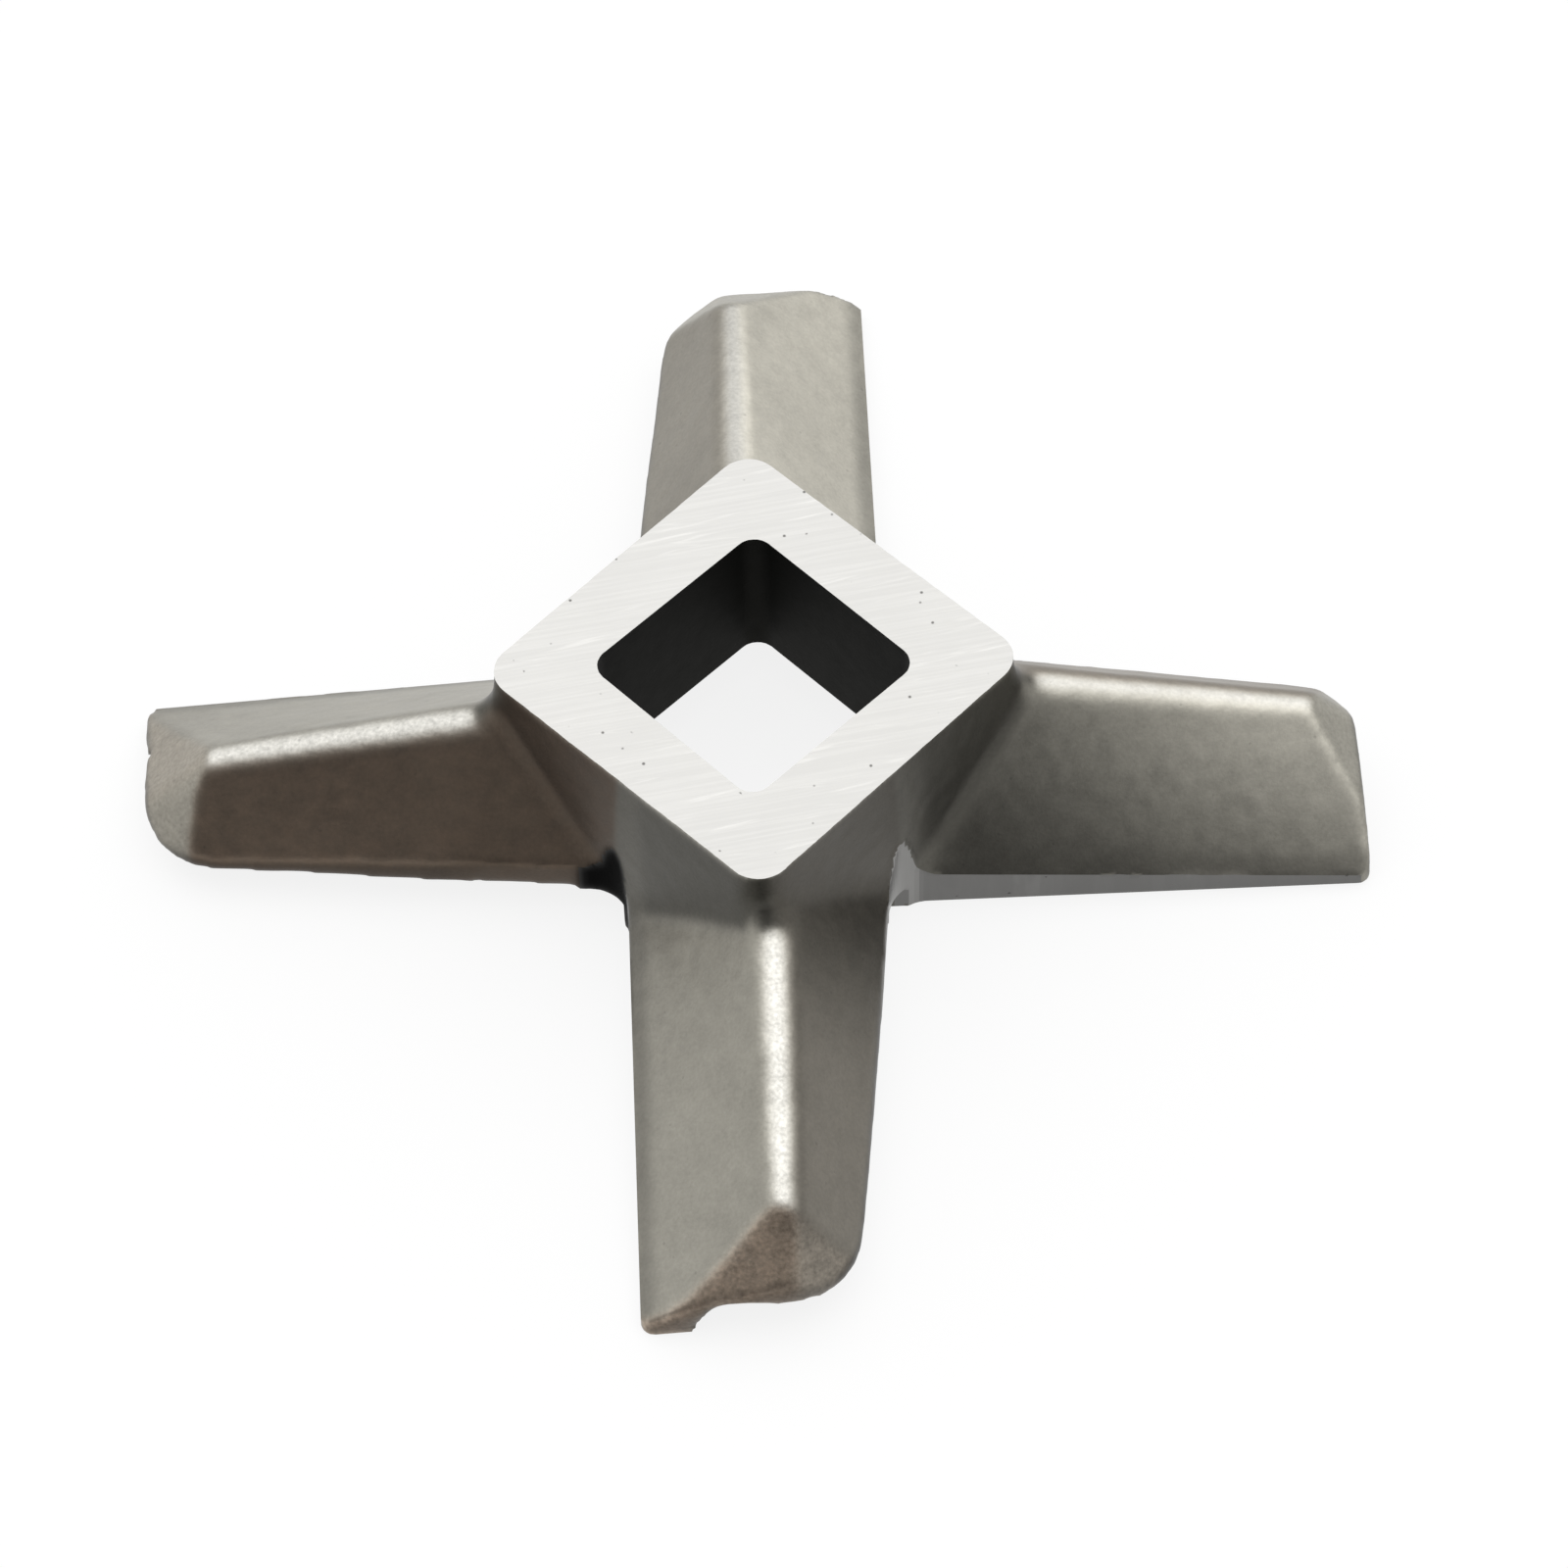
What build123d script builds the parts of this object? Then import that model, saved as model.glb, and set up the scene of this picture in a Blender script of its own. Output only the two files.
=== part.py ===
"""Meat grinder knife: one steel casting with a square hub and four blade arms.

Frame: millimetres, +Z along the drive shaft. The origin is the centre of the square
socket on the cutting plane, z = 0, where the ground lands under the four arms touch
the hole plate. The arms point along +X, +Y, -X and -Y, and the corners of the square
hub point the same way to within its own small turn.

An arm is worked out once, along +X, and turned for the others. Its directions are
u, outward along the arm, v, across it, and z. The leading side, which cuts, is at -v
and the trailing side at +v. Each size of the arm's section is given at the root
station and at the tip station, and the faces run straight between the two. Only
the tips differ from arm to arm, because each is dressed by hand. What differs is given
for the arms in order, from +X round by +Y.
"""

import os
from math import atan2, degrees, radians, sqrt, tan

from build123d import *

# Reach of the arms, and how much further than that each one goes
arm_reach = 38.0
reach_excess = (-0.6, 1.2, 0.2, -0.1)

# Square hub: its top is a ground face, and its flanks draw outward going down.
# It is cast a little turned on the arms, counter-clockwise seen from above.
hub_across_flats = 23.2
hub_top = 14.1
hub_base = 2.05
hub_corner_radius = 2.0
hub_draft = 4.7
hub_turn = 0.8

# Square drive socket, through the hub, broached a little turned the other way
socket_across_flats = 14.0
socket_corner_radius = 1.3
socket_turn = -0.8

# Round recess under the hub
recess_top = 3.55
recess_margin = 0.4
recess_shoulder_radius = 10.7
recess_mouth_radius = 11.2

# Leading side of an arm: a ground upright wall
leading_offset_root = 7.98
leading_offset_tip = 7.12
leading_height_root = 3.15
leading_height_tip = 0.60

# Ridge along the top of an arm, as the sharp corner that its radius rounds
ridge_offset_root = 0.7
ridge_offset_tip = 1.6
ridge_height_root = 14.2
ridge_height_tip = 6.7
ridge_radius_root = 2.4
ridge_radius_tip = 1.6

# Trailing side of an arm: a low cast wall
trailing_offset_root = 8.2
trailing_offset_tip = 5.3
trailing_top_root = 4.55
trailing_top_tip = 2.30
trailing_base_root = 2.05
trailing_base_tip = 1.55

# Underside of an arm: a ground land along the cutting edge, then a hollow
land_width = 2.95
hollow_run = 1.5
hollow_height_root = 2.1
hollow_height_tip = 2.7
hollow_radius = 2.0

# Tip of an arm: an end wall set back on the trailing side, and two plan corners
end_skews = (0.9, 2.4, 0.8, 0.9)
leading_tip_radius = 0.8
trailing_tip_radius = 5.0

# Roof of a tip: two dressed facets that fall outward and away from their own ridge
facet_end_heights = (4.1, 2.1, 3.0, 3.5)
facet_leading_slopes = (0.22, 0.0, 0.22, 0.22)
facet_ridge_offset = 2.0
facet_ridge_radius = 1.5
facet_fall = 0.95
facet_trailing_slope = 1.0

# Cast blend between hub and arms, and the grinding cutter's run-out at each root
root_fillet = 2.5
cutter_radius = 2.5
cutter_stop = 10.3

# How far an arm runs in under the hub from the shoulder of the recess
root_run_in = 4.0

# Casting stock that the grinding takes off, and how far a trimming body runs past
grinding_stock = 0.3
casting_allowance = 0.4
overrun = 5.0
blend_clearance = 0.5

# The hub's size at its base
base_across_flats = hub_across_flats + 2 * (hub_top - hub_base) * tan(radians(hub_draft))

# Stations of the arm's two sections, measured from the axis of the hub
root_station = recess_shoulder_radius - root_run_in
tip_station = arm_reach + max(reach_excess) + casting_allowance


def run_on(start, end, distance):
    """Second coordinate, at the given first one, of the line from start to end."""
    slope = (end[1] - start[1]) / (end[0] - start[0])
    return start[1] + slope * (distance - start[0])


def rounded_outline(corners):
    """Closed face from corners, each given as its two coordinates and its radius."""
    points = [(first, second) for first, second, radius in corners]
    radii = [radius for first, second, radius in corners]
    return make_face(FilletPolyline(*points, radius=radii, close=True))


def across_arm(u, corners):
    """Face square to an arm, at u, from corners given as v, z and radius."""
    plane = Plane(origin=(u, 0, 0), x_dir=(0, 1, 0), z_dir=(1, 0, 0))
    return plane * rounded_outline(corners)


def turned(shape, turn):
    """The shape made for the arm along +X, turned that many quarters to another arm."""
    return Rot(0, 0, 90 * turn) * shape


def cast_section(u, leading_top, ridge, trailing_top, trailing_base, hollow_height):
    """Section of an arm as cast: a ridged roof over a hollow and a cutting rib."""
    ridge_offset, ridge_height, ridge_radius = ridge
    peak = (ridge_offset, ridge_height)
    land_end = leading_top[0] + land_width
    hollow = (land_end + hollow_run, hollow_height)
    near = leading_top[0] - grinding_stock
    far = trailing_top[0] + casting_allowance
    rib_end = run_on((0, land_end), (hollow_height, hollow[0]), -grinding_stock)
    corners = [
        (near, -grinding_stock, 0),
        (near, run_on(leading_top, peak, near), 0),
        (*peak, ridge_radius),
        (far, run_on(peak, trailing_top, far), 0),
        (far, run_on(hollow, trailing_base, far), 0),
        (*hollow, hollow_radius),
        (rib_end, -grinding_stock, 0),
    ]
    return across_arm(u, corners)


def cast_bar():
    """An arm as cast, with its full ridge run out past the tip."""
    root = cast_section(
        root_station,
        (-leading_offset_root, leading_height_root),
        (ridge_offset_root, ridge_height_root, ridge_radius_root),
        (trailing_offset_root, trailing_top_root),
        (trailing_offset_root, trailing_base_root),
        hollow_height_root,
    )
    tip = cast_section(
        tip_station,
        (-leading_offset_tip, leading_height_tip),
        (ridge_offset_tip, ridge_height_tip, ridge_radius_tip),
        (trailing_offset_tip, trailing_top_tip),
        (trailing_offset_tip, trailing_base_tip),
        hollow_height_tip,
    )
    return loft([root, tip], ruled=True)


def tip_roof(reach, end_height, leading_slope):
    """The space under an arm's two end facets: a prism along their common ridge."""
    start = reach + overrun
    length = start - root_station + overrun
    peak_height = end_height - facet_fall * overrun
    half_width = leading_offset_root + overrun
    leading_foot = peak_height - leading_slope * (half_width + facet_ridge_offset)
    trailing_foot = peak_height - facet_trailing_slope * (half_width - facet_ridge_offset)
    floor = trailing_foot - facet_fall * length - overrun
    corners = [
        (-half_width, floor, 0),
        (-half_width, leading_foot, 0),
        (facet_ridge_offset, peak_height, facet_ridge_radius),
        (half_width, trailing_foot, 0),
        (half_width, floor, 0),
    ]
    along = length * sqrt(1 + facet_fall**2)
    return extrude(across_arm(start, corners), amount=along, dir=(-1, 0, facet_fall))


def turned_square(across_flats, corner_radius, turn, height):
    """A square face with its corners towards the arms but for a small turn."""
    square = RectangleRounded(across_flats, across_flats, corner_radius, rotation=45 + turn)
    return Pos(0, 0, height) * square


def hub():
    """The hub's solid block, wider at its base by the draft of the casting."""
    top = turned_square(hub_across_flats, hub_corner_radius, hub_turn, hub_top)
    return extrude(top, amount=hub_base - hub_top, taper=-hub_draft)


def arm_outline(reach, skew):
    """Plan of one arm: a ground leading side, an end wall and a cast trailing side."""
    leading = ((root_station, -leading_offset_root), (tip_station, -leading_offset_tip))
    trailing = ((root_station, trailing_offset_root), (tip_station, trailing_offset_tip))
    end = reach - skew
    corners = [
        (0, run_on(*leading, 0), 0),
        (reach, run_on(*leading, reach), leading_tip_radius),
        (end, run_on(*trailing, end), trailing_tip_radius),
        (0, run_on(*trailing, 0), 0),
    ]
    return rounded_outline(corners)


def cutter_path():
    """Plan of the cutter that grinds a leading side, stopped short of the hub."""
    fall = leading_offset_root - leading_offset_tip
    slant = degrees(atan2(fall, tip_station - root_station))
    length = tip_station + overrun - cutter_stop
    wall = run_on(
        (root_station, -leading_offset_root), (tip_station, -leading_offset_tip), cutter_stop
    )
    sweep = Rectangle(length, 2 * cutter_radius, align=(Align.MIN, Align.MAX))
    path = Rot(0, 0, slant) * (sweep + Pos(0, -cutter_radius) * Circle(cutter_radius))
    return Pos(cutter_stop, wall) * path


def knife_outline():
    """Plan of the whole knife after grinding."""
    reach = base_across_flats + casting_allowance
    outline = Rectangle(reach, reach, rotation=45 + hub_turn)
    for turn, (excess, skew) in enumerate(zip(reach_excess, end_skews)):
        outline += turned(arm_outline(arm_reach + excess, skew), turn)
    for turn in range(len(reach_excess)):
        outline -= turned(cutter_path(), turn)
    return outline


def recess():
    """The round recess under the hub: a steep mouth, then a shallow cone to a flat."""
    socket_reach = socket_across_flats / sqrt(2) - socket_corner_radius * (sqrt(2) - 1)
    profile = Polyline(
        (0, -overrun),
        (recess_mouth_radius, -overrun),
        (recess_mouth_radius, 0),
        (recess_shoulder_radius, hub_base),
        (socket_reach + recess_margin, recess_top),
        (0, recess_top),
        close=True,
    )
    return revolve(Plane.XZ * make_face(profile), Axis.Z)


def socket():
    """The square drive socket, cut from above the hub to below it."""
    square = turned_square(socket_across_flats, socket_corner_radius, socket_turn, -overrun)
    return extrude(square, amount=hub_top + 2 * overrun)


def blended_arm(roof):
    """The hub with one arm under its tip's roof, and the blend round the arm's root."""
    block = hub()
    arm = cast_bar() & roof
    body = block + arm
    seams = new_edges(block, arm, combined=body)
    roots = seams.filter_by(lambda seam: seam.center().Z > hub_base + blend_clearance)
    return fillet(roots, root_fillet)


def knife():
    """The finished knife: the casting, ground in plan, recessed and broached."""
    casting = Part()
    tips = zip(reach_excess, facet_end_heights, facet_leading_slopes)
    for turn, (excess, end_height, leading_slope) in enumerate(tips):
        roof = tip_roof(arm_reach + excess, end_height, leading_slope)
        casting += turned(blended_arm(roof), turn)
    column = extrude(knife_outline(), amount=hub_top + overrun)
    return (casting & column) - recess() - socket()


os.makedirs("parts", exist_ok=True)
export_step(knife(), "parts/knife.step")
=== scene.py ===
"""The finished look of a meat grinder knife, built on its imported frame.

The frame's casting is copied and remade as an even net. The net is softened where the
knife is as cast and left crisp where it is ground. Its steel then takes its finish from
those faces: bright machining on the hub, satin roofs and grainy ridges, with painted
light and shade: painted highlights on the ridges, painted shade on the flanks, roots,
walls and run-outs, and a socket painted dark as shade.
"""

from math import cos, radians, sin

import bmesh
import bpy
import numpy as np
from mathutils import Matrix, Vector


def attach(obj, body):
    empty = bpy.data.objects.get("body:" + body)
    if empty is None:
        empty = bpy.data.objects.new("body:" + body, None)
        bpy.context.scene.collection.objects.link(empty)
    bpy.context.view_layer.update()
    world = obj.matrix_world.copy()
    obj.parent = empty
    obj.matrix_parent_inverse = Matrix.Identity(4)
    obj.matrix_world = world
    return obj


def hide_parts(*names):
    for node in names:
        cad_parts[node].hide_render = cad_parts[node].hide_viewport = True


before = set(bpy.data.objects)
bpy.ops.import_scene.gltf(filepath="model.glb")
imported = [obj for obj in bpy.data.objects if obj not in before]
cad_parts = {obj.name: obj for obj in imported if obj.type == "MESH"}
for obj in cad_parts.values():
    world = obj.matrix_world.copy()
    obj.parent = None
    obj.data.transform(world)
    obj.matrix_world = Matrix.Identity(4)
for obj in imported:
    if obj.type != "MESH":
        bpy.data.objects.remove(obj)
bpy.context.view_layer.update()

bl_info = {
    "name": "Meat Grinder Knife",
    "version": (1, 0, 0),
    "blender": (4, 5, 0),
    "location": "View3D > Sidebar > Knife",
    "description": "Builds the cast steel knife of a meat grinder and a plain studio",
    "category": "Add Mesh",
}

MM = 0.001


# ---------------------------------------------------------------- settings


def length(name, description, default):
    """A length setting, given in millimetres."""
    return bpy.props.FloatProperty(
        name=name, description=description, default=default * MM, unit="LENGTH", precision=6
    )


def share(name, description, default):
    """A plain number setting."""
    return bpy.props.FloatProperty(name=name, description=description, default=default)


def color(name, description, default):
    """A colour setting."""
    return bpy.props.FloatVectorProperty(
        name=name, description=description, subtype="COLOR", default=default, min=0, max=1
    )


def each_arm(name, description, default):
    """A number for each arm, in order from +X round by +Y."""
    return bpy.props.FloatVectorProperty(
        name=name, description=description, size=4, default=default, min=0
    )


def angle(name, description, default):
    """An angle setting, given in degrees."""
    return bpy.props.FloatProperty(
        name=name, description=description, subtype="ANGLE", default=radians(default)
    )


class KnifeSurfaceSettings(bpy.types.PropertyGroup):
    """Sizes of the casting's surface."""

    net_depth: bpy.props.IntProperty(
        name="Net depth", description="Fineness of the even net", default=8, min=5, max=9
    )
    softening: bpy.props.IntProperty(
        name="Softening", description="Passes that round the cast edges", default=5, min=0
    )
    swell_height: length("Swell height", "Height of the slow unevenness", 0.07)
    swell_size: length("Swell size", "Spacing of the slow unevenness", 5.5)
    grain_height: length("Grain height", "Height of the cast grain", 0.016)
    grain_size: length("Grain size", "Spacing of the cast grain", 0.8)
    field_blending: bpy.props.IntProperty(
        name="Field blending", description="Passes that blend the finish", default=3, min=0
    )
    tip_softening: bpy.props.IntProperty(
        name="Tip softening",
        description="Further passes on the dressed tips and the low cast edges",
        default=20,
        min=0,
    )
    cutter_radius: length("Cutter radius", "Radius of the cutter at the roots", 2.5)
    cutter_outward: length("Cutter outward", "Where the cutter stops, along its arm", 10.365)
    cutter_across: length("Cutter across", "Where the cutter stops, across its arm", -10.385)
    nick_depth: length("Nick depth", "Depth of the nicks along the hub's top edges", 0.06)
    nick_size: length("Nick size", "Spacing of the nicks along the hub's top edges", 0.9)


class KnifeSteelSettings(bpy.types.PropertyGroup):
    """Colours and finishes of the steel. A tone is a factor on the steel's colour."""

    # Several of these settings are painted light and shade rather than the steel's own colour,
    # as noted at each
    cast_color: color("Cast steel", "Colour of the cast faces", (0.362, 0.347, 0.302))
    stained_color: color("Stained steel", "Colour of the brown skin", (0.37, 0.275, 0.205))
    worn_color: color("Worn steel", "Colour of the worn ridges", (0.365, 0.36, 0.342))
    ground_color: color("Ground steel", "Colour of the ground faces", (0.47, 0.465, 0.45))
    # Painted shade: the near-black colour inside the socket stands for shade in the bore
    socket_shade_color: color("Socket", "Colour inside the socket", (0.012, 0.012, 0.010))
    # Painted shade: the near-black colour of the deepest run-out
    notch_shade_color: color("Dulled steel", "Colour of a dulled run-out", (0.004, 0.004, 0.004))
    pit_color: color("Pits", "Colour of the small pits", (0.05, 0.048, 0.044))
    cast_roughness: share("Cast roughness", "Roughness of the cast faces", 0.40)
    ground_roughness: share("Ground roughness", "Roughness of the ground faces", 0.30)
    # Painted light and shade: the roof tones are partly the finish and partly set for each arm
    # to stand for the light on it
    leading_tone_and_light: each_arm("Leading tone", "Tone of a leading roof", (1.08, 1.42, 0.93, 0.96))
    trailing_tone_and_shade: each_arm("Trailing tone", "Tone of a trailing roof", (0.6, 0.76, 0.64, 0.54))
    # Partly wear and partly painted highlight: the ridge tone and how wide it spreads
    ridge_wear_and_highlight: each_arm("Ridge tone", "Tone of a ridge", (1.45, 1.0, 1.3, 1.75))
    ridge_spread: each_arm("Ridge spread", "How wide a ridge's tone is", (0.32, 0.4, 0.7, 0.5))
    ridge_grain: each_arm("Ridge grain", "Coarseness of a ridge", (0.2, 0.3, 0.6, 0.7))
    # Painted light and shade: the facet tone differs by arm, and the bias darkens a facet's
    # trailing side
    facet_tone_and_light: each_arm("Facet tone", "Tone of a tip's facets", (1.05, 1.0, 0.95, 1.4))
    facet_side_shade: each_arm("Facet bias", "Darkening of a trailing facet", (0.3, 0.0, 0.0, 0.75))
    facet_grain: each_arm("Facet grain", "Coarseness of a tip's facets", (0.2, 0.3, 0.35, 0.8))
    facet_stain: each_arm("Facet stain", "Brown on a tip's facets", (0.0, 0.0, 0.2, 0.75))
    stain: each_arm("Stain", "Brown on a trailing roof", (0.3, 0.1, 0.9, 0.15))
    # Painted highlight along the rounded border between a leading roof and its facet
    border_highlight: each_arm("Border gain", "Wear along a facet's border", (1.0, 0.0, 0.1, 0.3))
    # Painted shade on the run-outs
    run_out_shade: each_arm("Run-out tone", "Tone of a run-out", (0.5, 0.3, 0.3, 0.02))
    # Painted shade on the hub's flanks
    flank_shade: share("Flank tone", "Tone of the hub's flanks", 0.22)
    # Painted shade on the blends between hub and arms
    blend_shade: share("Root tone", "Tone of the blend between hub and arms", 0.25)
    # Painted shade on the end walls and along the leading edges
    edge_shade: share("Edge tone", "Tone of the end walls and along the leading edges", 0.36)
    # Painted shade on the ground leading walls
    wall_shade: share("Wall tone", "Tone of the ground leading walls", 0.32)


class KnifeStudioSettings(bpy.types.PropertyGroup):
    """Camera, floor and light."""

    camera_elevation: angle("Camera elevation", "Height of the camera", 55.159)
    camera_azimuth: angle("Camera azimuth", "Turn of the camera round the knife", 1.061)
    camera_roll: angle("Camera roll", "Turn of the camera about its line of sight", -1.997)
    camera_distance: length("Camera distance", "From the middle of the socket", 351.9)
    camera_shift_x: share("Camera shift x", "Sideways shift of the view", 0.0165)
    camera_shift_y: share("Camera shift y", "Upward shift of the view", 0.0090)
    lens: share("Lens", "Focal length in millimetres", 130.5)
    floor_color: color("Floor", "Colour of the floor", (0.93, 0.93, 0.93))
    floor_glow: share("Floor glow", "Share of plain white in the floor as it is seen", 0.85)
    light_level: share("Light level", "Strength of the even light", 0.62)
    overhead_level: share("Overhead level", "Strength of the soft light overhead", 1.25)
    left_level: share("Left level", "Strength of the soft light from the left", 0.25)
    front_shade: share("Front shade", "Dimming beside the camera", 0.45)


class KnifeSettings(bpy.types.PropertyGroup):
    """All the settings of the knife."""

    surface: bpy.props.PointerProperty(type=KnifeSurfaceSettings)
    steel: bpy.props.PointerProperty(type=KnifeSteelSettings)
    studio: bpy.props.PointerProperty(type=KnifeStudioSettings)


# ---------------------------------------------------------------- shader maths


class Signal:
    """A shader socket that takes part in sums: each operator adds one Math node."""

    def __init__(self, graph, socket):
        self.graph = graph
        self.socket = socket

    def __add__(self, other):
        return self.graph.math("ADD", self, other)

    def __radd__(self, other):
        return self.graph.math("ADD", other, self)

    def __sub__(self, other):
        return self.graph.math("SUBTRACT", self, other)

    def __rsub__(self, other):
        return self.graph.math("SUBTRACT", other, self)

    def __mul__(self, other):
        return self.graph.math("MULTIPLY", self, other)

    def __rmul__(self, other):
        return self.graph.math("MULTIPLY", other, self)


class Graph:
    """A node tree, with one way to add a node and short names for common ones."""

    def __init__(self, tree):
        self.tree = tree
        tree.nodes.clear()

    def link(self, value, socket):
        """Sets a socket from a Signal or from a plain value."""
        if isinstance(value, Signal):
            self.tree.links.new(value.socket, socket)
        else:
            socket.default_value = value

    def node(self, kind, settings=None, inputs=None, output=0):
        """One node: its settings first, then its sockets by name or number."""
        node = self.tree.nodes.new(kind)
        for name, value in (settings or {}).items():
            setattr(node, name, value)
        for key, value in (inputs or {}).items():
            self.link(value, node.inputs[key])
        return Signal(self, node.outputs[output]) if node.outputs else node

    def math(self, operation, *values):
        """One Math node."""
        settings = {"operation": operation}
        return self.node("ShaderNodeMath", settings, dict(enumerate(values)))

    def dot(self, first, second):
        """How far one vector reaches along another, times the other's length."""
        settings = {"operation": "DOT_PRODUCT"}
        inputs = {0: first, 1: second}
        return self.node("ShaderNodeVectorMath", settings, inputs, output="Value")

    def times(self, vector, factor):
        """A vector or colour times a number."""
        settings = {"operation": "SCALE"}
        return self.node("ShaderNodeVectorMath", settings, {0: vector, "Scale": factor})

    def along(self, place, first, second, third):
        """Coordinates of a place along three directions, each scaled by its length."""
        inputs = {
            "X": self.dot(place, first),
            "Y": self.dot(place, second),
            "Z": self.dot(place, third),
        }
        return self.node("ShaderNodeCombineXYZ", inputs=inputs)

    def mix(self, factor, first, second):
        """A colour between two colours."""
        settings = {"data_type": "RGBA"}
        return self.node("ShaderNodeMix", settings, {0: factor, 6: first, 7: second}, output=2)

    def smooth(self, value, low, high):
        """0 below low, 1 above high, and smooth between them."""
        settings = {"interpolation_type": "SMOOTHSTEP"}
        inputs = {"Value": value, "From Min": low, "From Max": high}
        return self.node("ShaderNodeMapRange", settings, inputs)

    def noise(self, vector, scale, detail=2.0, roughness=0.5):
        """Smooth noise from 0 to 1."""
        inputs = {"Vector": vector, "Scale": scale, "Detail": detail, "Roughness": roughness}
        return self.node("ShaderNodeTexNoise", inputs=inputs, output="Fac")

    def attribute(self, name):
        """A field of the mesh."""
        return self.node("ShaderNodeAttribute", {"attribute_name": name}, output="Fac")


def rgba(color):
    """An opaque colour for a socket."""
    return (*color, 1.0)


def in_plane(degrees, scale):
    """A direction across the hub's top, at an angle from +X, with a scale for length."""
    return (cos(radians(degrees)) * scale, sin(radians(degrees)) * scale, 0.0)


def scratches(graph, place, degrees, stretch, density, low, high):
    """Fine lines at one angle: noise stretched along them and cut to thin streaks."""
    lines = graph.along(
        place, in_plane(degrees, stretch), in_plane(degrees + 90, density), (0, 0, stretch)
    )
    return graph.smooth(graph.noise(lines, 1.0, 3.0, 0.6), low, high)


def pores(graph, place, spacing, size, rarity):
    """Small round pits: the near middles of scattered cells, where a slow noise lets
    them."""
    inputs = {"Vector": place, "Scale": 1 / spacing}
    cells = graph.node("ShaderNodeTexVoronoi", inputs=inputs, output="Distance")
    slow = graph.noise(place, PIT_SLOWNESS / spacing, 1.0)
    chance = graph.smooth(slow, rarity, rarity + PIT_BAND)
    pit = 1.0 - graph.smooth(cells, PIT_FLOOR * size / spacing, size / spacing)
    return pit * chance


# Fineness of the steel's noises, in cells per metre
CLOUD_SCALE = 160.0
MOTTLE_SCALE = 900.0
SPECKLE_SCALE = 2100.0
GRAIN_SCALE = 4200.0

# Grinding lines: their angle, their cells per metre along and across, and the levels of
# the noise between which a line comes in
FINE_LINES = (11.0, 90.0, 5200.0, 0.35, 0.75)
BOLD_LINES = (15.0, 130.0, 1900.0, 0.60, 0.70)
CROSS_LINES = (4.0, 160.0, 2600.0, 0.63, 0.72)

# Pits: their spacing, their size and their flat floor as a share of it, the level of a
# slow noise above which they come, the band over which they do, the noise's cells for
# each spacing, how much they show on cast faces, and how strongly they darken
PIT_SPACING = 1.1 * MM
PIT_SIZE = 0.14 * MM
PIT_FLOOR = 0.4
PIT_RARITY = 0.52
PIT_BAND = 0.04
PIT_SLOWNESS = 0.7
CAST_PITS = 0.25
PIT_DARKENING = 0.8

# How far the worn colour and the stain take over, and what dulls the steel's gloss
WEAR = 0.8
STAIN_EVEN = 0.75
STAIN_MOTTLE = 0.4
SOCKET_DULLING = 0.3
RUN_OUT_DULLING = 0.6
MOTTLE_DULLING = 0.10

# Relief of the steel's surface
RELIEF_STRENGTH = 0.5
RELIEF_HEIGHT = 0.03 * MM


def cast_unevenness(cloud, mottle, grain, speckle, coarse):
    """Factor on the cast tone: slow clouds and mottle, and a grain that is plain
    everywhere and grows, with coarser speckles, where the skin is coarse."""
    even = 0.70 + 0.30 * cloud + 0.30 * mottle
    grainy = (0.30 + 0.70 * coarse) * (grain - 0.5)
    return even + grainy + 0.5 * coarse * (speckle - 0.5)


def ground_lines(fine, bold, cross, cloud):
    """Factor on the ground colour: bright lines of three kinds, and a slight cloud."""
    return 0.93 + 0.07 * fine + 0.10 * bold + 0.06 * cross + 0.05 * (cloud - 0.5)


def relief(mottle, grain, coarse, lines, pits, ground):
    """Height of the surface: grain and mottle where it is cast, lines where it is
    ground, and pits in both."""
    cast = (0.55 + 0.45 * coarse) * grain + 0.5 * mottle
    return cast * (1.0 - ground) + 0.35 * lines * ground - 1.2 * pits


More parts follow.
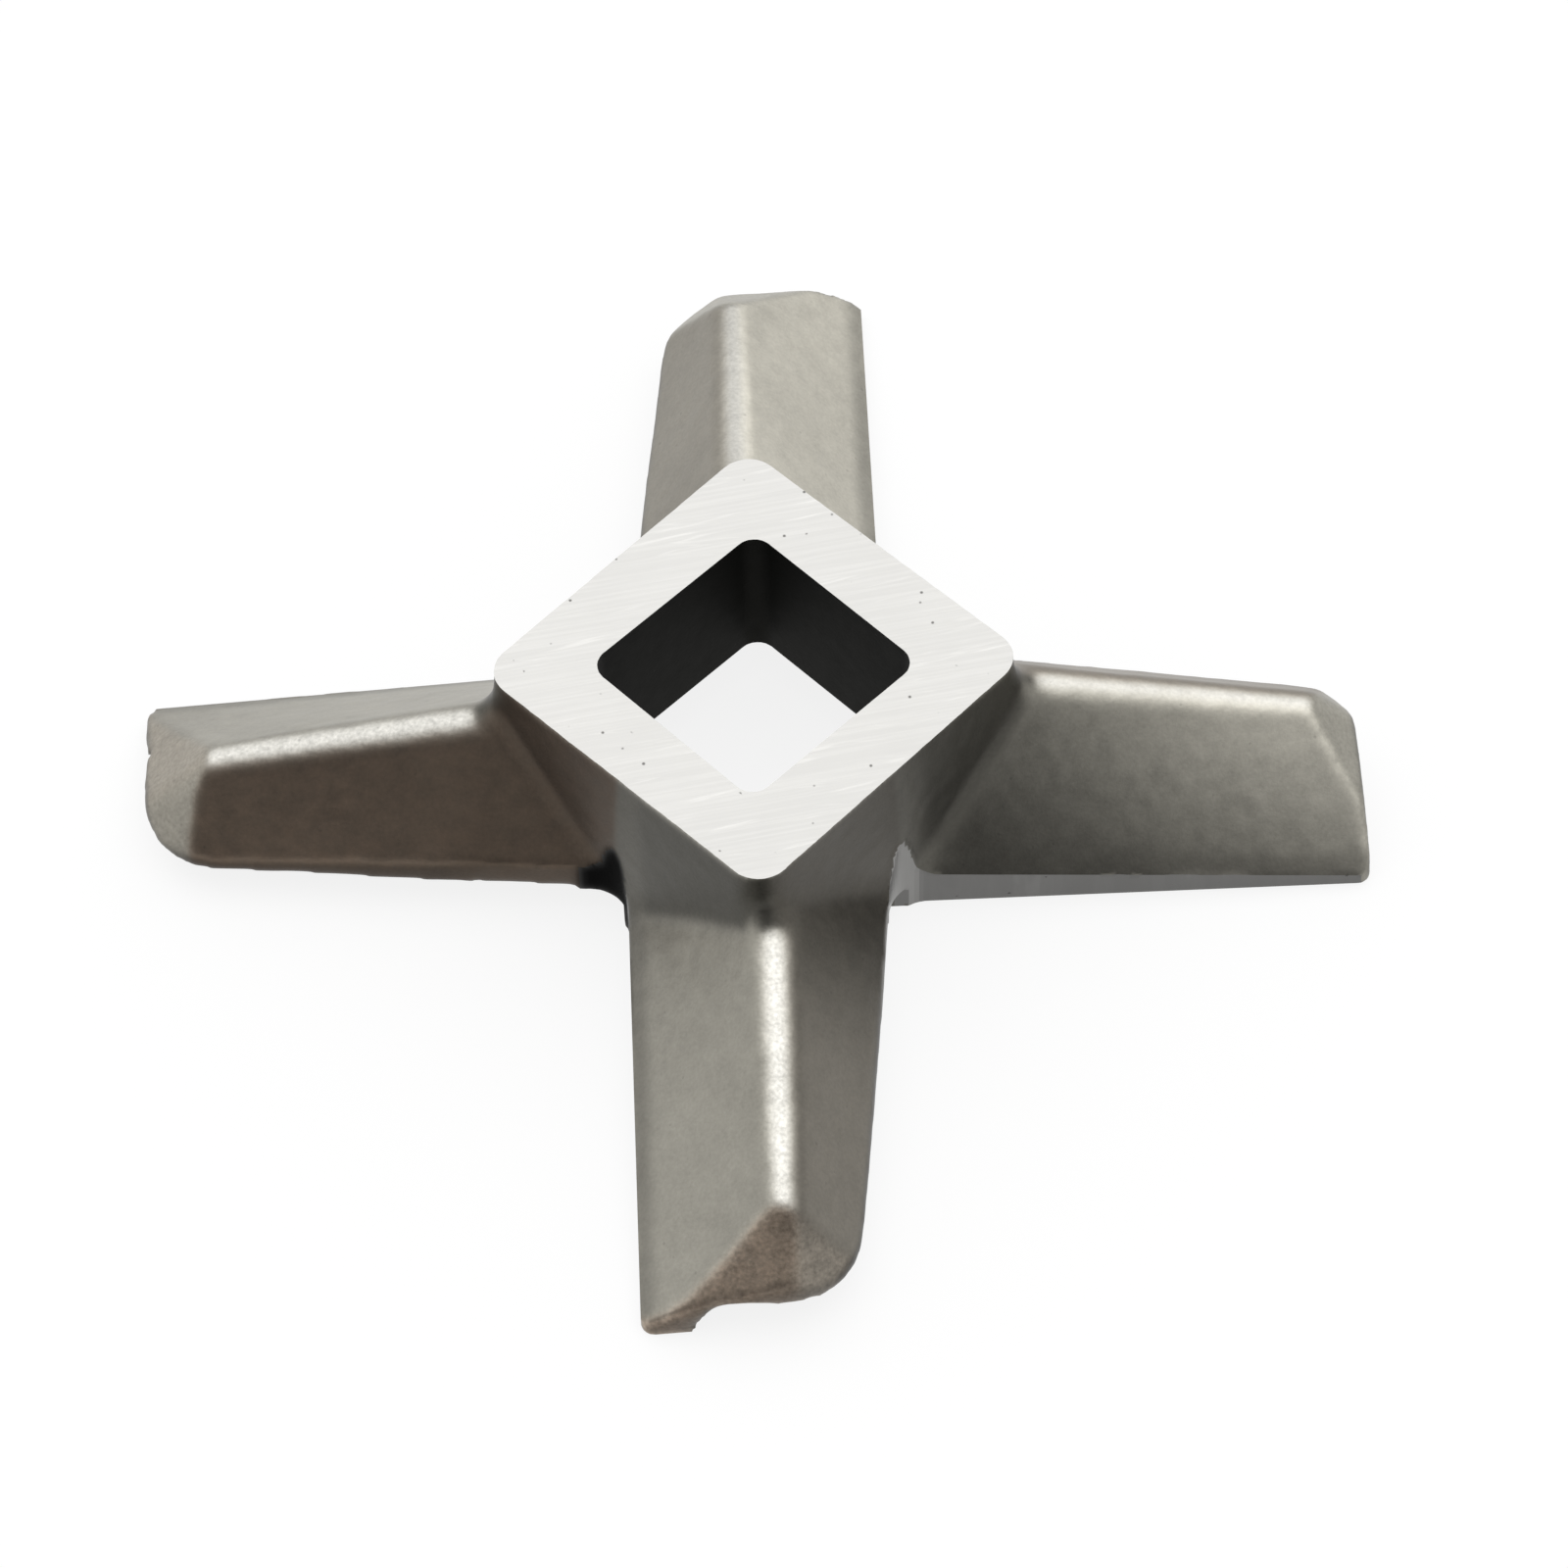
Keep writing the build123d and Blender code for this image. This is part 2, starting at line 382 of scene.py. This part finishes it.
def steel(settings):
    """The knife's steel: cast, ground and broached finishes of the same metal.

    The tone, stain, wear and coarseness of the cast skin come from the mesh, and so
    does which faces are ground or inside the socket. The tone and the face shade hold
    painted light and shade, and the socket's near-black colour is painted shade. Noises
    in the knife's own coordinates make the rest.
    """
    material = bpy.data.materials.new("knife_steel")
    material.use_nodes = True
    graph = Graph(material.node_tree)
    place = graph.node("ShaderNodeTexCoord", output="Object")
    ground = graph.attribute("ground")
    inside = graph.attribute("inside")
    shade = graph.attribute("shade")
    tone = graph.attribute("tone")
    stain = graph.attribute("stain")
    worn = graph.attribute("worn")
    coarse = graph.attribute("coarse")
    notch_shade = graph.attribute("notch_shade")

    cloud = graph.noise(place, CLOUD_SCALE, 3.0, 0.55)
    mottle = graph.noise(place, MOTTLE_SCALE, 4.0, 0.6)
    grain = graph.noise(place, GRAIN_SCALE, 2.0, 0.6)
    speckle = graph.noise(place, SPECKLE_SCALE, 1.0)
    fine = scratches(graph, place, *FINE_LINES)
    bold = scratches(graph, place, *BOLD_LINES)
    cross = scratches(graph, place, *CROSS_LINES)
    pits = pores(graph, place, PIT_SPACING, PIT_SIZE, PIT_RARITY)
    pits = pits * (CAST_PITS + (1.0 - CAST_PITS) * ground)

    stained = stain * (STAIN_EVEN + STAIN_MOTTLE * mottle)
    cast = graph.mix(stained, rgba(settings.cast_color), rgba(settings.stained_color))
    cast = graph.mix(WEAR * worn, cast, rgba(settings.worn_color))
    uneven = cast_unevenness(cloud, mottle, grain, speckle, coarse)
    # The tone holds painted light and shade as well as the finish
    cast = graph.times(cast, tone * uneven)
    lined = ground_lines(fine, bold, cross, cloud)
    machined = graph.times(settings.ground_color, lined)
    # The face shade is painted shade on the leading walls and the run-outs
    surface = graph.times(graph.mix(ground, cast, machined), shade)
    # Painted shade: the deepest run-out is blacked out
    surface = graph.mix(notch_shade, surface, rgba(settings.notch_shade_color))
    # Painted shade: the socket's faces take a near-black colour
    surface = graph.mix(inside, surface, rgba(settings.socket_shade_color))
    surface = graph.mix(PIT_DARKENING * pits, surface, rgba(settings.pit_color))

    span = settings.ground_roughness - settings.cast_roughness
    roughness = settings.cast_roughness + span * ground + MOTTLE_DULLING * (mottle - 0.5)
    roughness = roughness + SOCKET_DULLING * inside + RUN_OUT_DULLING * notch_shade
    bump = graph.node(
        "ShaderNodeBump",
        inputs={
            "Strength": RELIEF_STRENGTH,
            "Distance": RELIEF_HEIGHT,
            "Height": relief(mottle, grain, coarse, fine + bold, pits, ground),
        },
    )
    shader = graph.node(
        "ShaderNodeBsdfPrincipled",
        inputs={
            "Base Color": surface,
            "Roughness": roughness,
            "Metallic": 1.0,
            "Normal": bump,
        },
    )
    graph.node("ShaderNodeOutputMaterial", inputs={"Surface": shader})
    return material


# ---------------------------------------------------------------- casting

# Points nearer than this are one point
MERGE_DISTANCE = 0.001 * MM

# How much of its lattice the net's solid fills
NET_FILL = 0.99

# Shares of the way to their neighbours' middle that softened points go and come back
PULL_IN = 0.5
PUSH_OUT = 0.35

# Cells along each side of the table that lattice noise repeats over
NOISE_CELLS = 64

# Seeds of the casting's three noises
SWELL_SEED = 3
GRAIN_SEED = 5
NICK_SEED = 7

# Slack in telling faces: how far flat ones lie from their plane, how far the normal
# of an upright one rises, and how squarely a leading wall faces backwards
FLAT_SLACK = 0.02 * MM
UPRIGHT_SLACK = 0.02
WALL_SQUARENESS = 0.95

# Leading walls end below this height, and the socket's walls lie within this reach
WALL_TOP = 5 * MM
SOCKET_REACH = 10.2 * MM

# Slack in telling the cutter's run-outs, and where across its radius, as shares of
# it, a run-out turns into its leading wall
CUT_SLACK = 0.05 * MM
CUT_UPRIGHT_SLACK = 0.06
CUT_TURN = (0.93, 1.0)

# A run-out shaded darker than the first value takes near-black painted shade with a soft
# border, over a face shade of the second
NOTCH_SHADE_BELOW = 0.1
NOTCH_FACE_SHADE = 0.15

# The dressed tips start this far out. The low cast edges lie between two heights.
TIP_START = 27 * MM
LOW_EDGES = (0.4 * MM, 4 * MM)

# Edges sharper than this many degrees stay sharp in the shading
SHARP_DEGREES = 35


def merged_copy(node):
    """A copy of a frame node's mesh, with its loose triangles joined."""
    mesh = node.data.copy()
    shell = bmesh.new()
    shell.from_mesh(mesh)
    bmesh.ops.remove_doubles(shell, verts=shell.verts, dist=MERGE_DISTANCE)
    shell.to_mesh(mesh)
    shell.free()
    return mesh


def even_net(mesh, depth):
    """The same solid as an even net whose points keep to its sharp edges."""
    holder = bpy.data.objects.new("net", mesh)
    bpy.context.scene.collection.objects.link(holder)
    remake = holder.modifiers.new("net", "REMESH")
    remake.mode = "SHARP"
    remake.octree_depth = depth
    remake.scale = NET_FILL
    remake.sharpness = 1.0
    remake.use_remove_disconnected = False
    graph = bpy.context.evaluated_depsgraph_get()
    net = bpy.data.meshes.new_from_object(holder.evaluated_get(graph))
    bpy.data.objects.remove(holder)
    return net


def read_rows(items, name, width):
    """One vector for each vertex or face, as the rows of an array."""
    rows = np.empty(len(items) * width)
    items.foreach_get(name, rows)
    return rows.reshape(-1, width)


def step(value, low, high):
    """0 below low, 1 above high, and a smooth cubic rise between them."""
    rise = np.clip((value - low) / (high - low), 0.0, 1.0)
    return rise * rise * (3.0 - 2.0 * rise)


def fade(value, ends, first, second):
    """The first amount before the first end, the second one past the second end, and
    smooth between them."""
    return first + (second - first) * step(value, *ends)


def lattice_noise(points, spacing, seed):
    """Smooth noise from -1 to 1: values drawn at the corners of a cubic lattice, and
    blended between the eight corners round each point by the smooth step."""
    table = np.random.default_rng(seed).uniform(-1.0, 1.0, (NOISE_CELLS,) * 3)
    cell = np.floor(points / spacing).astype(int)
    weight = step(points / spacing - cell, 0.0, 1.0)
    total = np.zeros(len(points))
    for corner in np.ndindex(2, 2, 2):
        near = np.where(np.array(corner) == 1, weight, 1.0 - weight).prod(axis=1)
        x, y, z = ((cell + corner) % NOISE_CELLS).T
        total += near * table[x, y, z]
    return total


def arm_frame(points, normals):
    """For each point, the nearest arm's number, and the point and its normal as seen
    along that arm: outward, across it towards the trailing side, and up."""
    arm = np.round(np.arctan2(points[:, 1], points[:, 0]) / (np.pi / 2)).astype(int) % 4
    turn = arm * np.pi / 2
    outward = np.stack([np.cos(turn), np.sin(turn)], axis=1)
    across = np.stack([-np.sin(turn), np.cos(turn)], axis=1)

    def seen(rows):
        flat = rows[:, :2]
        parts = [(flat * outward).sum(1), (flat * across).sum(1), rows[:, 2]]
        return np.stack(parts, axis=1)

    return arm, seen(points), seen(normals)


def sorted_faces(mesh, surface, steel_settings):
    """Which faces are ground, which are inside the socket, and the shade of each one.

    Ground faces are the hub's flat top, the lands on the cutting plane, the upright
    leading walls and the run-outs. Inside faces look towards the axis within the hub.
    A run-out is a quarter of a cylinder at the root of a leading wall: its faces are
    upright and lie at the cutter's radius from where the cutter stopped. A shade is a
    factor on the face's colour: painted shade on the leading walls and the run-outs.
    """
    centers = read_rows(mesh.polygons, "center", 3)
    normals = read_rows(mesh.polygons, "normal", 3)
    top = centers[:, 2].max()
    arm, place, facing = arm_frame(centers, normals)
    reach = np.hypot(centers[:, 0], centers[:, 1])
    inward = (centers[:, :2] * normals[:, :2]).sum(1) < 0
    rise = np.abs(normals[:, 2])
    upright = rise < UPRIGHT_SLACK
    flat = (centers[:, 2] > top - FLAT_SLACK) | (centers[:, 2] < FLAT_SLACK)
    wall = upright & (facing[:, 1] < -WALL_SQUARENESS) & (place[:, 2] < WALL_TOP)
    inside = inward & upright & (reach < SOCKET_REACH)
    # Painted shade: the leading walls and the run-outs are darkened
    wall_shade = steel_settings.wall_shade
    shade = np.where(wall, wall_shade, 1.0)
    cut = np.zeros(len(centers), dtype=bool)
    along, across = surface.cutter_outward, surface.cutter_across
    radius = surface.cutter_radius
    for number, run_out_shade in enumerate(steel_settings.run_out_shade):
        turn = number * np.pi / 2
        outward = np.array([np.cos(turn), np.sin(turn)])
        sideways = np.array([-np.sin(turn), np.cos(turn)])
        middle = along * outward + across * sideways
        off = np.hypot(*(centers[:, :2] - middle).T) - radius
        here = (np.abs(off) < CUT_SLACK) & (rise < CUT_UPRIGHT_SLACK) & ~inside
        aside = (centers[:, :2] @ sideways - across) / radius
        shade = np.where(here, fade(aside, CUT_TURN, run_out_shade, wall_shade), shade)
        cut |= here
    return flat | wall | cut, inside, shade


def joined_points(mesh):
    """The two ends of every edge of a mesh, and how many edges meet at each point."""
    edges = np.empty(len(mesh.edges) * 2, dtype=int)
    mesh.edges.foreach_get("vertices", edges)
    start, end = edges.reshape(-1, 2).T
    return start, end, np.bincount(edges, minlength=len(mesh.vertices))


def blended(values, mesh, passes):
    """A value at each point, drawn half way to the mean of its neighbours' values at
    each pass."""
    start, end, count = joined_points(mesh)
    for _ in range(passes):
        total = np.bincount(start, values[end], len(values))
        total += np.bincount(end, values[start], len(values))
        values = 0.5 * (values + total / count)
    return values


def softened(points, mesh, held, passes):
    """Points drawn towards the middle of their neighbours, half way at each pass, and
    back out again by a little more, so that edges round without the body shrinking.
    Held points stay where they are."""
    start, end, count = joined_points(mesh)
    count = count[:, None]
    free = (~held)[:, None]
    for _ in range(passes):
        for pull in (PULL_IN, -PUSH_OUT):
            middle = np.zeros_like(points)
            np.add.at(middle, start, points[end])
            np.add.at(middle, end, points[start])
            points = points + free * pull * (middle / count - points)
    return points


# Where the masks of the cast skin start and end. Leans are parts of a normal: across
# its arm, outward along it, or up. Those across are shares of the ridge's spread for
# the two roofs. Places are in millimetres, outward along an arm or across it.
LEADING_LEAN = (0.1, 1.0)
TRAILING_LEAN = (0.2, 1.1)
RIDGE_UP = (0.84, 0.94)
FACET_OUTWARD = (0.34, 0.52)
FACET_PLACE = (27.0, 30.0)
FLANK_UP = (0.42, 0.68)
FLANK_PLACE = (16.0, 20.0)
LIP_LEAN = (0.3, 0.8)
LIP_UP = (0.2, 0.58)
END_OUTWARD = (0.73, 0.86)
END_PLACE = (30.0, 32.0)
TRAILING_FACET_LEAN = (0.05, 0.4)

# Painted light and shade: the first arm's leading roof lightens outward and towards its ridge
FIRST_ARM = 0
LIGHT_DRIFT_OUTWARD = (9.0, 36.0)
LIGHT_DRIFT_OUTWARD_TONES = (0.45, 1.23)
LIGHT_DRIFT_ACROSS = (-8.5, 0.5)
LIGHT_DRIFT_ACROSS_TONES = (0.55, 1.30)

# The last arm's trailing roof takes painted shade near the hub, and its facets have a darker
# patch, given by its middle and its size outward and across, and by its strength
LAST_ARM = 3
HUB_SIDE_SHADE_OUTWARD = (12.0, 27.0)
HUB_SIDE_SHADE_TONES = (0.55, 1.05)
DARK_PATCH_MIDDLE = (32.8, 2.2)
DARK_PATCH_SIZE = (2.2, 1.6)
DARK_PATCH_STRENGTH = 0.55

# The painted shade along a leading edge: where it fades out across the arm, how far that
# place moves in for each millimetre outward, and how strong it is
RIM_ACROSS = (-7.6, -6.6)
RIM_TAPER = 0.02
RIM_STRENGTH = 0.5

# How much painted shade darkens the low trailing wall, and how much less stained a trailing
# facet is
LIP_SHADE = 0.75
TRAILING_FACET_CLEANNESS = 0.6


def finish_fields(points, normals, steel_settings):
    """Tone, stain, wear and coarseness of the cast skin at each point.

    Leading and trailing roofs are told by which way their normal leans across the arm,
    ridges face up between them, facets lean outward at the tips and flanks are nearly
    upright. Each has its own tone, and neighbours blend over the angle between them. The
    tones hold painted light and shade as well as the finish.
    """
    arm, place, facing = arm_frame(points, normals)
    outward, across = (place / MM).T[:2]
    facing_out, lean, up = facing.T

    def per_arm(values):
        return np.array(values)[arm]

    spread = per_arm(steel_settings.ridge_spread)
    leading = step(-lean / spread, *LEADING_LEAN)
    trailing = step(lean / spread, *TRAILING_LEAN)
    ridge = (1.0 - leading) * (1.0 - trailing) * step(up, *RIDGE_UP)
    facet = step(facing_out, *FACET_OUTWARD) * step(outward, *FACET_PLACE)
    flank = (1.0 - step(up, *FLANK_UP)) * (1.0 - step(outward, *FLANK_PLACE))

    # Painted light and shade on the first arm's leading roof
    painted_light_and_shade = fade(outward, LIGHT_DRIFT_OUTWARD, *LIGHT_DRIFT_OUTWARD_TONES)
    painted_light_and_shade *= fade(across, LIGHT_DRIFT_ACROSS, *LIGHT_DRIFT_ACROSS_TONES)
    painted_light_and_shade = np.where(arm == FIRST_ARM, painted_light_and_shade, 1.0)
    # Painted shade near the hub on the last arm's trailing roof
    hub_side_shade = fade(outward, HUB_SIDE_SHADE_OUTWARD, *HUB_SIDE_SHADE_TONES)
    hub_side_shade = np.where(arm == LAST_ARM, hub_side_shade, 1.0)
    # Roof tones: partly finish, partly painted light and shade set for each arm
    tone = leading * painted_light_and_shade * per_arm(steel_settings.leading_tone_and_light)
    tone += trailing * hub_side_shade * per_arm(steel_settings.trailing_tone_and_shade)
    # Ridge tone: partly wear, partly a painted highlight
    tone += ridge * per_arm(steel_settings.ridge_wear_and_highlight)
    # The blends at the roots take painted shade
    root = np.clip(1.0 - leading - trailing - ridge, 0.0, 1.0)
    tone += root * steel_settings.blend_shade
    # Facet tones: painted light for each arm and painted shade on the trailing side
    facet_side_shade = 1.0 - per_arm(steel_settings.facet_side_shade) * lean
    tone += facet * (per_arm(steel_settings.facet_tone_and_light) * facet_side_shade - tone)
    # The low trailing wall takes painted shade
    tone *= 1.0 - LIP_SHADE * step(lean, *LIP_LEAN) * (1.0 - step(up, *LIP_UP))
    # The flanks take painted shade
    tone += flank * (steel_settings.flank_shade - tone)

    # The turned border between a leading roof and its facet takes a painted highlight
    border = 4.0 * facet * (1.0 - facet) * leading
    tone *= 1.0 + per_arm(steel_settings.border_highlight) * border
    patch_out = (outward - DARK_PATCH_MIDDLE[0]) / DARK_PATCH_SIZE[0]
    patch_across = (across - DARK_PATCH_MIDDLE[1]) / DARK_PATCH_SIZE[1]
    dark_patch = facet * np.exp(-(patch_out**2) - patch_across**2)
    tone *= 1.0 - np.where(arm == LAST_ARM, DARK_PATCH_STRENGTH * dark_patch, 0.0)
    # Painted shade along the leading edges and on the end walls
    rim = leading * (1.0 - step(across - RIM_TAPER * outward, *RIM_ACROSS))
    end = step(facing_out, *END_OUTWARD) * step(outward, *END_PLACE)
    edge = np.clip(RIM_STRENGTH * rim + end, 0.0, 1.0)
    tone += edge * (steel_settings.edge_shade - tone)

    coarse = ridge * (1.0 - flank) * per_arm(steel_settings.ridge_grain)
    coarse += facet * (per_arm(steel_settings.facet_grain) - coarse)
    stain = trailing * per_arm(steel_settings.stain)
    clean = 1.0 - TRAILING_FACET_CLEANNESS * step(lean, *TRAILING_FACET_LEAN)
    stain += facet * (per_arm(steel_settings.facet_stain) * clean - stain)
    worn = ridge * (1.0 - flank) * (1.0 - facet)
    return {"tone": tone, "stain": stain, "worn": worn, "coarse": coarse}


def face_corners(mesh):
    """The point at each corner of every face, and how many corners each face has."""
    corners = np.empty(len(mesh.loops), dtype=int)
    mesh.loops.foreach_get("vertex_index", corners)
    sides = np.empty(len(mesh.polygons), dtype=int)
    mesh.polygons.foreach_get("loop_total", sides)
    return corners, sides


def touching_share(faces, corners, sides, count):
    """For each point, the share of the faces round it that are picked."""
    picked = np.bincount(corners, np.repeat(faces * 1.0, sides), count)
    return picked / np.bincount(corners, minlength=count)


def move_points(mesh, points):
    """Moves the points of a mesh to new places."""
    mesh.vertices.foreach_set("co", points.ravel())
    mesh.update()


def write_field(mesh, name, domain, values):
    """Adds a number to each point or face of a mesh, for the steel to read."""
    layer = mesh.attributes.new(name, "FLOAT", domain)
    layer.data.foreach_set("value", np.asarray(values, dtype=np.float32))


def shape_casting(mesh, crisp, low, high, surface):
    """Softens and roughens the net, within the box from low to high.

    Points of crisp faces are held. The others are softened, then moved along their
    normal by a slow swell and a fine grain of lattice noise. Points on the rim of the
    hub's top, between crisp and other faces, take small nicks.
    """
    points = read_rows(mesh.vertices, "co", 3)
    share = touching_share(crisp, *face_corners(mesh), len(points))
    held = share > 0.0
    loose = share < 1.0
    points = softened(points, mesh, held, surface.softening)
    height = points[:, 2]
    worked = (np.abs(points[:, :2]).max(axis=1) > TIP_START) | (height < LOW_EDGES[1])
    worked &= height > LOW_EDGES[0]
    points = softened(points, mesh, held | ~worked, surface.tip_softening)
    move_points(mesh, points)

    normals = read_rows(mesh.vertices, "normal", 3)
    swell = lattice_noise(points, surface.swell_size, SWELL_SEED)
    grain = lattice_noise(points, surface.grain_size, GRAIN_SEED)
    rise = surface.swell_height * swell + surface.grain_height * grain
    points = points + np.where(held, 0.0, rise)[:, None] * normals
    rim = held & loose & (points[:, 2] > high[2] - FLAT_SLACK)
    nick = surface.nick_depth * lattice_noise(points, surface.nick_size, NICK_SEED)
    points[:, :2] -= (rim * np.abs(nick))[:, None] * normals[:, :2]
    move_points(mesh, np.clip(points, low, high))


def finish_casting(mesh, ground, inside, shade, settings):
    """Writes the fields that the steel reads: some for each point, some for each face."""
    points = read_rows(mesh.vertices, "co", 3)
    normals = read_rows(mesh.vertices, "normal", 3)
    # The deepest run-out takes near-black painted shade with a soft border
    dark = shade < NOTCH_SHADE_BELOW
    fields = finish_fields(points, normals, settings.steel)
    fields["notch_shade"] = touching_share(dark, *face_corners(mesh), len(points))
    for name, values in fields.items():
        write_field(mesh, name, "POINT", blended(values, mesh, settings.surface.field_blending))
    write_field(mesh, "ground", "FACE", ground)
    write_field(mesh, "inside", "FACE", inside)
    write_field(mesh, "shade", "FACE", np.where(dark, NOTCH_FACE_SHADE, shade))


def build_casting(settings):
    """The knife's casting: the frame's solid as an even net, shaped and finished. No
    point leaves the solid's own box."""
    surface = settings.surface
    solid = merged_copy(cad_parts["knife"])
    box = read_rows(solid.vertices, "co", 3)
    mesh = even_net(solid, surface.net_depth)
    mesh.name = "knife_casting"
    ground, inside, shade = sorted_faces(mesh, surface, settings.steel)
    shape_casting(mesh, ground | inside, box.min(0), box.max(0), surface)
    finish_casting(mesh, ground, inside, shade, settings)
    mesh.shade_smooth()
    mesh.set_sharp_from_angle(angle=radians(SHARP_DEGREES))
    mesh.materials.clear()
    mesh.materials.append(steel(settings.steel))
    piece = bpy.data.objects.new("knife_casting", mesh)
    bpy.context.scene.collection.objects.link(piece)
    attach(piece, "root")
    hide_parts("knife")
    return piece


# ---------------------------------------------------------------- studio

WHITE = (1.0, 1.0, 1.0, 1.0)

# Width of the camera's sensor, in millimetres, and how far the camera sees, in metres
SENSOR_WIDTH = 36.0
CLIP_END = 20.0

# The floor's radius, in metres, and how many sides it has
FLOOR_RADIUS = 4.0
FLOOR_SIDES = 96

# The middle of each soft patch of sky, and the cosines of the angles from it at which
# the patch starts and is full
OVERHEAD = (0.08, 0.55, 0.83)
OVERHEAD_SPREAD = (0.5, 0.88)
FRONT = (-0.30, -0.90, 0.30)
FRONT_SPREAD = (0.6, 0.9)
LEFT = (-0.82, 0.40, 0.41)
LEFT_SPREAD = (0.5, 1.0)


def place_camera(settings):
    """The camera looks at the middle of the socket, on the cutting plane."""
    elevation = settings.camera_elevation
    azimuth = settings.camera_azimuth
    roll = settings.camera_roll
    level = Vector((cos(azimuth), sin(azimuth), 0))
    back = Vector((sin(azimuth), -cos(azimuth), 0)) * cos(elevation)
    back.z = sin(elevation)
    upright = back.cross(level)
    right = cos(roll) * level + sin(roll) * upright
    up = -sin(roll) * level + cos(roll) * upright
    data = bpy.data.cameras.new("camera")
    data.lens = settings.lens
    data.sensor_width = SENSOR_WIDTH
    data.shift_x = settings.camera_shift_x
    data.shift_y = settings.camera_shift_y
    data.clip_end = CLIP_END
    camera = bpy.data.objects.new("camera", data)
    pose = Matrix((right, up, back)).transposed().to_4x4()
    pose.translation = back * settings.camera_distance
    camera.matrix_world = pose
    bpy.context.scene.collection.objects.link(camera)
    bpy.context.scene.camera = camera


def floor_paint(settings):
    """Matt pale paint, part of which shows as plain white to the eye and to the steel."""
    material = bpy.data.materials.new("floor_paint")
    material.use_nodes = True
    graph = Graph(material.node_tree)
    seen = graph.node("ShaderNodeLightPath", output="Is Camera Ray")
    seen = seen + graph.node("ShaderNodeLightPath", output="Is Glossy Ray")
    seen = seen + graph.node("ShaderNodeLightPath", output="Is Transmission Ray")
    seen = graph.math("MINIMUM", seen, 1.0)
    matt = graph.node("ShaderNodeBsdfDiffuse", inputs={"Color": rgba(settings.floor_color)})
    white = graph.node("ShaderNodeEmission", inputs={"Color": WHITE, "Strength": 1.0})
    shader = graph.node(
        "ShaderNodeMixShader", inputs={0: seen * settings.floor_glow, 1: matt, 2: white}
    )
    graph.node("ShaderNodeOutputMaterial", inputs={"Surface": shader})
    return material


def lay_floor(settings):
    """A round floor on the cutting plane."""
    angles = np.linspace(0, 2 * np.pi, FLOOR_SIDES, endpoint=False)
    rim = np.stack([np.cos(angles), np.sin(angles), 0 * angles], axis=1) * FLOOR_RADIUS
    mesh = bpy.data.meshes.new("floor")
    mesh.from_pydata(rim.tolist(), [], [list(range(FLOOR_SIDES))])
    mesh.materials.append(floor_paint(settings))
    floor = bpy.data.objects.new("floor", mesh)
    bpy.context.scene.collection.objects.link(floor)


def light_studio(settings):
    """A soft sky: an even level, a broad light overhead and behind, a fainter one at
    the left, and a dimmer patch in front."""
    world = bpy.data.worlds.new("studio")
    world.use_nodes = True
    bpy.context.scene.world = world
    graph = Graph(world.node_tree)
    direction = graph.node("ShaderNodeTexCoord", output="Generated")
    overhead = graph.smooth(graph.dot(direction, OVERHEAD), *OVERHEAD_SPREAD)
    front = graph.smooth(graph.dot(direction, FRONT), *FRONT_SPREAD)
    left = graph.smooth(graph.dot(direction, LEFT), *LEFT_SPREAD)
    level = settings.light_level + settings.overhead_level * overhead
    level = level - settings.front_shade * front + settings.left_level * left
    light = graph.node("ShaderNodeBackground", inputs={"Color": WHITE, "Strength": level})
    graph.node("ShaderNodeOutputWorld", inputs={"Surface": light})


# ---------------------------------------------------------------- operators


class KNIFE_OT_casting(bpy.types.Operator):
    """Builds the casting of the knife with its steel"""

    bl_idname = "knife.casting"
    bl_label = "Build Casting"

    def execute(self, context):
        build_casting(context.scene.knife)
        return {"FINISHED"}


class KNIFE_OT_studio(bpy.types.Operator):
    """Builds the floor, the light and the camera"""

    bl_idname = "knife.studio"
    bl_label = "Build Studio"

    def execute(self, context):
        studio = context.scene.knife.studio
        lay_floor(studio)
        light_studio(studio)
        place_camera(studio)
        return {"FINISHED"}


class KNIFE_PT_panel(bpy.types.Panel):
    """The knife's panel in the sidebar"""

    bl_idname = "KNIFE_PT_panel"
    bl_label = "Meat Grinder Knife"
    bl_space_type = "VIEW_3D"
    bl_region_type = "UI"
    bl_category = "Knife"

    def draw(self, context):
        settings = context.scene.knife
        layout = self.layout
        for group in (settings.surface, settings.steel, settings.studio):
            box = layout.box()
            for name in group.__annotations__:
                box.prop(group, name)
        layout.operator(KNIFE_OT_casting.bl_idname)
        layout.operator(KNIFE_OT_studio.bl_idname)


CLASSES = (
    KnifeSurfaceSettings,
    KnifeSteelSettings,
    KnifeStudioSettings,
    KnifeSettings,
    KNIFE_OT_casting,
    KNIFE_OT_studio,
    KNIFE_PT_panel,
)


def register():
    for kind in CLASSES:
        bpy.utils.register_class(kind)
    bpy.types.Scene.knife = bpy.props.PointerProperty(type=KnifeSettings)


def unregister():
    del bpy.types.Scene.knife
    for kind in reversed(CLASSES):
        bpy.utils.unregister_class(kind)


def main():
    """Builds the scene."""
    register()
    bpy.ops.knife.casting()
    bpy.ops.knife.studio()
    bpy.context.scene.view_settings.view_transform = "Standard"


if __name__ == "__main__":
    main()
